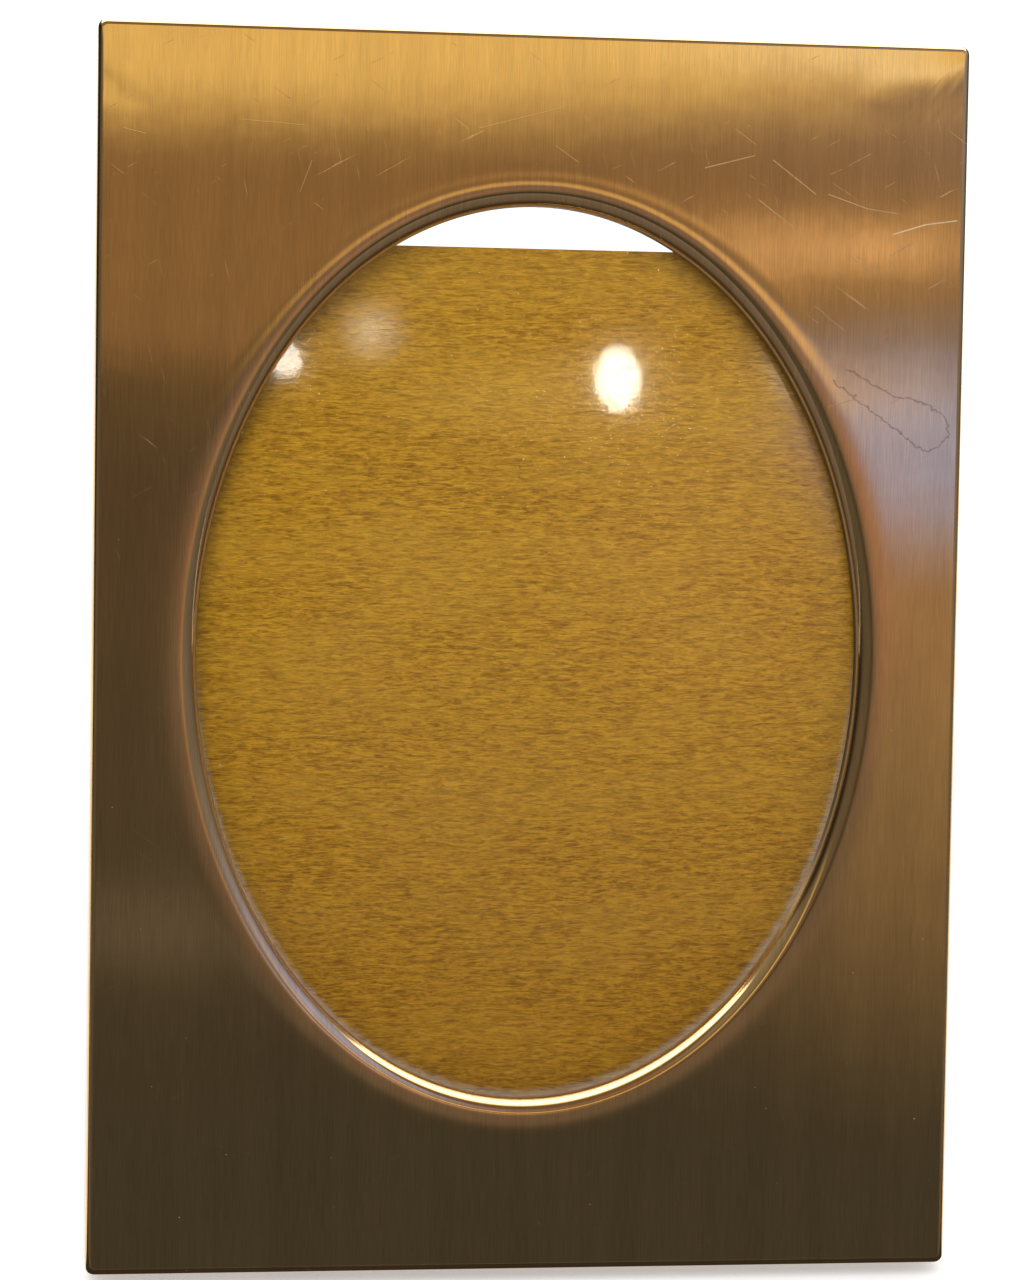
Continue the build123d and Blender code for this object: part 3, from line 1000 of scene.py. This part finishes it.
    def unroll(self, skin: bpy.types.Object, rows: list[Row]) -> None:
        """Lay the skin's map out as the flat sheet it was cut from.

        Args:
            skin: The shell's skin.
            rows: The rows that it was drawn through.
        """
        mesh = skin.data
        count = len(mesh.vertices)
        column, level = np.zeros(count, np.int32), np.zeros(count, np.int32)
        mesh.attributes["column"].data.foreach_get("value", column)
        mesh.attributes["row"].data.foreach_get("value", level)
        sheet = np.stack([row.sheet for row in rows])[level, column] / 100.0
        corners = np.zeros(len(mesh.loops), np.int32)
        mesh.loops.foreach_get("vertex_index", corners)
        layer = mesh.uv_layers.active or mesh.uv_layers.new(name="unrolled")
        layer.name = "unrolled"
        layer.data.foreach_set("uv", sheet[corners].astype(np.float32).ravel())
        for name in ("column", "row"):
            mesh.attributes.remove(mesh.attributes[name])

    def build(self) -> bpy.types.Object:
        """Model the shell and give it its finish."""
        rows = self.rows()
        skin = self.draw_out(rows)
        self.cut_away(skin, rows)
        self.unroll(skin, rows)
        Bench.apply(
            skin,
            "SOLIDIFY",
            thickness=self.sheet * MM,
            offset=-1.0,
            use_even_offset=True,
            use_quality_normals=True,
        )
        Bench.apply(
            skin,
            "BEVEL",
            width=0.05 * MM,
            segments=2,
            limit_method="ANGLE",
            angle_limit=math.radians(55),
        )
        Bench.smooth(skin, 35)
        Bench.coat(skin, BrushedBrass(self.plane).material())
        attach(skin, "shell")
        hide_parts("shell")
        return skin


@dataclass
class Insert:
    """A flat CAD piece of the stack behind the face, kept as it is and given its finish."""

    node: str
    material: bpy.types.Material
    rounding: float = 0.0

    def dress(self) -> bpy.types.Object:
        """Finish the piece, and soften its cut edges if they are rounded.

        Returns:
            The dressed CAD node.
        """
        piece = frame["nodes"][self.node]
        Bench.coat(piece, self.material)
        if self.rounding:
            weld = piece.modifiers.new("join", "WELD")
            weld.merge_threshold = 1e-6
            round_off = piece.modifiers.new("round_off", "BEVEL")
            round_off.width = self.rounding * MM
            round_off.segments = 2
            round_off.limit_method = "ANGLE"
            round_off.angle_limit = math.radians(40)
        return piece


@dataclass
class Viewpoint:
    """The camera, in the millimetres of the face."""

    plane: LeaningPlane
    x: float = -54.46
    rise: float = 20.23
    ahead: float = 370.16
    lens: float = 101.25
    look: tuple[float, float, float] = (0.1399, -0.0497, 0.9889)
    upright: tuple[float, float, float] = (-0.0094, 0.9986, 0.0516)

    def direction(self, parts: Sequence[float]) -> Vector:
        """Turn (right, up, into the face) into a direction in the scene."""
        return Vector((parts[0], 0, 0)) + self.plane.up * parts[1] - self.plane.out * parts[2]

    def place(self) -> bpy.types.Object:
        """Set up the camera."""
        lens = bpy.data.cameras.new("viewpoint")
        lens.lens = self.lens
        lens.sensor_width = 36.0
        lens.clip_start, lens.clip_end = 0.01, 50.0
        camera = bpy.data.objects.new("viewpoint", lens)
        bpy.context.scene.collection.objects.link(camera)
        look = self.direction(self.look).normalized()
        upright = self.direction(self.upright)
        right = look.cross(upright).normalized()
        upright = right.cross(look)
        turn = Matrix((right, upright, -look)).transposed().to_4x4()
        place = self.plane.point(self.x, self.rise, -self.ahead)
        camera.matrix_world = Matrix.Translation(place) @ turn
        bpy.context.scene.camera = camera
        return camera

    def mirrored(self, x: float, rise: float, distance: float) -> Vector:
        """Where a lamp hangs for the camera to see it in the face at this place.

        Args:
            x: Millimetres to the right of the face's middle.
            rise: Millimetres above it.
            distance: Metres from the face to the lamp.

        Returns:
            The lamp's place in the scene.
        """
        away = Vector((x - self.x, 0, 0)) + self.plane.up * (rise - self.rise)
        away += self.plane.out * self.ahead
        return self.plane.point(x, rise, 0.0) + away.normalized() * distance


@dataclass(frozen=True)
class Glow:
    """A patch of light in the room: where it is seen from the frame, its half sizes and colour."""

    azimuth: float
    height: float
    half_width: float
    half_height: float
    colour: Colour
    softness: float = 0.6
    strength: float = 1.0


Bands = tuple[tuple[float, Colour], ...]


@dataclass(frozen=True)
class DimRoom:
    """The room that the brass and the pane mirror: dim low down, lit above, with a cool window."""

    wall: Bands = (
        (0.10, (0.07, 0.07, 0.07)),
        (0.46, (0.10, 0.08, 0.06)),
        (0.48, (0.30, 0.20, 0.12)),
        (0.65, (0.30, 0.20, 0.12)),
    )
    beyond: Bands = (
        (0.100, (0.150, 0.140, 0.140)),
        (0.300, (0.220, 0.210, 0.230)),
        (0.600, (0.300, 0.300, 0.340)),
        (1.000, (0.340, 0.330, 0.340)),
    )
    corner: Bands = (
        (0.100, (0.120, 0.110, 0.100)),
        (0.550, (0.170, 0.145, 0.130)),
        (1.000, (0.300, 0.280, 0.250)),
    )
    sides: Bands = (
        (0.700, (0.030, 0.028, 0.026)),
        (0.850, (0.320, 0.300, 0.270)),
    )
    # The lit frieze, the light and the glass of a window on the right, a sill low on the left,
    # a lamp's warmth behind the camera, two lit things high on the right, and a side window.
    glows: tuple[Glow, ...] = (
        Glow(50.0, 0.90, 26.0, 0.30, (0.5, 0.6, 1.5), 1.0),
        Glow(5.0, 0.64, 40.0, 0.045, (1.0, 0.8, 0.4), 0.6),
        Glow(17.0, 0.34, 5.0, 0.16, (0.4, 0.3, 0.2), 0.7),
        Glow(17.0, 0.42, 3.5, 0.045, (0.5, 0.7, 1.8), 0.7),
        Glow(0.0, 0.20, 5.0, 0.02, (0.14, 0.13, 0.13), 0.8),
        Glow(9.0, 0.31, 5.5, 0.14, (0.20, 0.16, 0.15), 0.3),
        Glow(12.5, 0.37, 3.0, 0.07, (0.5, 0.3, 0.25), 0.7),
        Glow(10.5, 0.45, 4.0, 0.02, (1.0, 0.7, 0.3), 0.5),
        Glow(14.0, 0.52, 5.0, 0.02, (0.6, 0.4, 0.2), 0.8, 0.8),
        Glow(15.0, 0.52, 1.0, 0.012, (1.8, 1.3, 1.0), 0.8),
        Glow(15.5, 0.62, 1.5, 0.01, (1.7, 1.7, 1.7), 0.8),
    )

    def material(self) -> bpy.types.Material:
        """Write the material."""
        recipe = Recipe("dim_room")
        x, y, z = recipe.split(recipe.add("TexCoord", {}).outputs["Object"])
        ahead = recipe.calc("MULTIPLY", y, -1.0)
        side = recipe.calc("MULTIPLY", recipe.calc("ARCTAN2", x, ahead), 180 / math.pi)
        far_right, far_left = recipe.fade(side, 80.0, 115.0), recipe.fade(side, -45.0, -75.0)
        colour = recipe.ramp(z, self.wall)
        for share, bands in (
            (recipe.fade(side, 19.5, 26.0), self.beyond),
            (recipe.fade(side, -4.0, -18.0), self.corner),
            (recipe.calc("MAXIMUM", far_right, far_left), self.sides),
        ):
            colour = recipe.mix(share, colour, recipe.ramp(z, bands))
        flat = recipe.join(side, z)
        for glow in self.glows:
            away = recipe.vector("SUBTRACT", flat, (glow.azimuth, glow.height, 0.0)).outputs[0]
            half = (glow.half_width, glow.half_height, 1.0)
            away = recipe.vector("DIVIDE", away, half).outputs[0]
            reach = recipe.vector("LENGTH", away).outputs["Value"]
            inner, outer = 1.0 - glow.softness, 1.0 + glow.softness
            lit = recipe.fade(reach, inner, outer, glow.strength, 0.0)
            colour = recipe.mix(lit, colour, glow.colour)
        return recipe.glowing(colour)


@dataclass
class Studio:
    """A pale table in plain soft light, with a dim room and its lamps for the metal to show."""

    view: Viewpoint
    floor_size: float = 14.0
    room_radius: float = 1.3
    room_height: float = 1.25
    sky: float = 0.62
    sun: float = 1.55
    floor_glow: float = 0.36
    lamp_distance: float = 1.0

    def backdrop_ray(self, recipe: Recipe) -> Socket:
        """1 for a ray that shows the background itself: straight, mirrored or seen through."""
        path = recipe.add("LightPath", {})
        shown = recipe.calc("MAXIMUM", path.outputs["Is Camera Ray"], path.outputs["Is Glossy Ray"])
        return recipe.calc("MAXIMUM", shown, path.outputs["Is Transmission Ray"])

    def lay_floor(self) -> None:
        """Lay the pale floor, which keeps the object's shadow."""
        Bench.clear()
        bpy.ops.mesh.primitive_plane_add(size=self.floor_size)
        floor = bpy.context.object
        floor.name = "floor"
        recipe = Recipe("pale_floor")
        glow = recipe.calc("MULTIPLY", self.backdrop_ray(recipe), self.floor_glow)
        shader = recipe.surface(
            {
                "Base Color": (0.90, 0.90, 0.90),
                "Roughness": 1.0,
                "Specular IOR Level": 0.0,
                "Emission Color": (1.0, 1.0, 1.0),
                "Emission Strength": glow,
            }
        )
        Bench.coat(floor, recipe.finish(shader))

    def light_world(self) -> None:
        """Fill the room with even light, in front of a white background."""
        world = bpy.data.worlds.new("studio")
        bpy.context.scene.world = world
        world.use_nodes = True
        recipe = Recipe.of_tree(world.node_tree)
        strength = recipe.fade(self.backdrop_ray(recipe), 0.0, 1.0, self.sky, 1.0)
        light = recipe.add("Background", {"Color": (1.0, 1.0, 1.0), "Strength": strength})
        recipe.add("OutputWorld", {"Surface": light.outputs[0]})

    def only_mirrored(self, piece: bpy.types.Object) -> None:
        """Leave a panel to be seen in metal and glass only."""
        piece.visible_camera = False
        piece.visible_diffuse = False
        piece.visible_volume_scatter = False
        piece.visible_shadow = False

    def hang_room(self) -> None:
        """Hang the round screen that stands for the room."""
        Bench.clear()
        bpy.ops.mesh.primitive_cylinder_add(
            vertices=128,
            radius=self.room_radius,
            depth=self.room_height,
            end_fill_type="NOTHING",
            location=(0, 0, self.room_height / 2),
        )
        screen = bpy.context.object
        screen.name = "room_screen"
        bpy.ops.object.transform_apply(location=True, rotation=False, scale=False)
        bpy.ops.object.mode_set(mode="EDIT")
        bpy.ops.mesh.select_all(action="DESELECT")
        mesh = bmesh.from_edit_mesh(screen.data)
        for face in mesh.faces:
            face.select = face.calc_center_median().y > 0.85 * self.room_radius
        bmesh.update_edit_mesh(screen.data)
        bpy.ops.mesh.delete(type="FACE")
        bpy.ops.object.mode_set(mode="OBJECT")
        Bench.coat(screen, DimRoom().material())
        self.only_mirrored(screen)

    def lay_cloth(self) -> None:
        """Lay a dark cloth in front of the frame for the lip to show."""
        Bench.clear()
        bpy.ops.mesh.primitive_plane_add(size=1.0, location=(0, -0.66, 0.0003))
        cloth = bpy.context.object
        cloth.name = "dark_cloth"
        cloth.scale = (2.0, 1.276, 1.0)
        bpy.ops.object.transform_apply(location=True, rotation=False, scale=True)
        recipe = Recipe("dark_cloth")
        back = recipe.split(recipe.add("TexCoord", {}).outputs["Object"])[1]
        away = recipe.calc("MULTIPLY", back, -1.0)
        colour = recipe.ramp(
            away,
            (
                (0.040, (0.050, 0.043, 0.040)),
                (0.120, (0.170, 0.150, 0.155)),
                (0.600, (0.240, 0.215, 0.230)),
                (1.000, (0.080, 0.076, 0.078)),
            ),
        )
        Bench.coat(cloth, recipe.glowing(colour))
        self.only_mirrored(cloth)

    def hang_ceiling(self) -> None:
        """Hang the white ceiling that the folds of the sheet show."""
        Bench.clear()
        bpy.ops.mesh.primitive_plane_add(size=3.2, location=(0, 0.2, self.room_height + 0.01))
        ceiling = bpy.context.object
        ceiling.name = "white_ceiling"
        bpy.ops.object.transform_apply(location=True, rotation=False, scale=False)
        recipe = Recipe("white_ceiling")
        back = recipe.split(recipe.add("TexCoord", {}).outputs["Object"])[1]
        colour = recipe.ramp(
            recipe.calc("ADD", back, 1.0),
            (
                (0.300, (0.210, 0.150, 0.120)),
                (0.460, (1.200, 1.000, 0.800)),
                (0.640, (3.200, 3.100, 2.900)),
                (0.850, (4.200, 4.100, 4.000)),
            ),
        )
        Bench.coat(ceiling, recipe.glowing(colour))
        self.only_mirrored(ceiling)

    def hang_soft_light(self) -> None:
        """Hang the broad soft light high in front."""
        light = bpy.data.lights.new("soft_light", "SUN")
        light.energy = self.sun
        light.angle = math.radians(35)
        light.color = (1.0, 0.98, 0.95)
        lamp = bpy.data.objects.new("soft_light", light)
        bpy.context.scene.collection.objects.link(lamp)
        lamp.rotation_euler = (math.radians(40), 0.0, math.radians(-14))
        lamp.visible_glossy = False
        lamp.visible_transmission = False

    def hang_lamp(
        self, name: str, x: float, rise: float, size: tuple[float, float], glow: float
    ) -> None:
        """Hang a small room lamp whose reflection the camera sees in the pane at this place.

        Args:
            name: The lamp's name.
            x: Millimetres to the right of the face's middle.
            rise: Millimetres above it.
            size: The lamp's width and height in metres.
            glow: How brightly it shines.
        """
        light = bpy.data.lights.new(name, "AREA")
        light.shape = "ELLIPSE"
        light.size, light.size_y = size
        area = math.pi * size[0] * size[1] / 4
        light.energy = glow * math.pi * area
        light.color = (1.0, 0.90, 0.72)
        lamp = bpy.data.objects.new(name, light)
        bpy.context.scene.collection.objects.link(lamp)
        place = self.view.mirrored(x, rise, self.lamp_distance)
        towards = (place - self.view.plane.origin).to_track_quat("Z", "Y")
        lamp.matrix_world = Matrix.Translation(place) @ towards.to_matrix().to_4x4()
        self.only_mirrored(lamp)
        lamp.visible_transmission = False
        lamp.light_linking.receiver_collection = self.pane_only()

    @staticmethod
    def pane_only() -> bpy.types.Collection:
        """The pane alone, as what the small lamps shine on."""
        group = bpy.data.collections.get("pane_only")
        if group is None:
            group = bpy.data.collections.new("pane_only")
            group.objects.link(frame["nodes"]["pane"])
        return group

    def build(self) -> None:
        """Set the whole studio up."""
        self.lay_floor()
        self.light_world()
        self.hang_room()
        self.lay_cloth()
        self.hang_ceiling()
        self.hang_soft_light()
        self.hang_lamp("lamp_near", 8.8, 28.9, (0.017, 0.024), 40.0)
        self.hang_lamp("lamp_far", -26.0, 30.2, (0.013, 0.012), 30.0)


def main() -> None:
    """Build, dress and light the frame."""
    logging.basicConfig(level=logging.INFO, format="%(name)s: %(message)s")
    face = LeaningPlane.of_face(frame["record"], PressedShell.height / 2)
    strut = LeaningPlane.of_strut(frame["joints"])

    shell = PressedShell(face).build()
    log.info("%s: %d faces", shell.name, len(shell.data.polygons))

    steel = PlatedSteel(face, "plated_steel").material()
    strut_steel = PlatedSteel(strut, "strut_steel").material()
    inserts = (
        Insert("pane", ClearPane(face, PressedShell.window).material()),
        Insert("backing_card", Strawboard(face, PressedShell.window).material()),
        Insert("back_board", Hardboard(face, "back_hardboard").material()),
        Insert("back_cover", EmbossedPaper(face, "back_paper").material()),
        Insert("hinge_fixed_leaf", steel, 0.08),
        Insert("hinge_pin", steel, 0.12),
        Insert("board_rivets", steel, 0.06),
        Insert("strut_lining", EmbossedPaper(strut, "strut_lining_paper").material()),
        Insert("strut_board", Hardboard(strut, "strut_hardboard").material()),
        Insert("strut_cover", EmbossedPaper(strut, "strut_cover_paper").material()),
        Insert("hinge_moving_leaf", strut_steel, 0.08),
        Insert("strut_rivets", strut_steel, 0.06),
    )
    for insert in inserts:
        piece = insert.dress()
        log.info("%s: dressed in %s", piece.name, insert.material.name)

    view = Viewpoint(face)
    view.place()
    Studio(view).build()
    scene = bpy.context.scene
    scene.view_settings.view_transform = "Standard"
    log.info("sizes written")


if __name__ == "__main__":
    main()
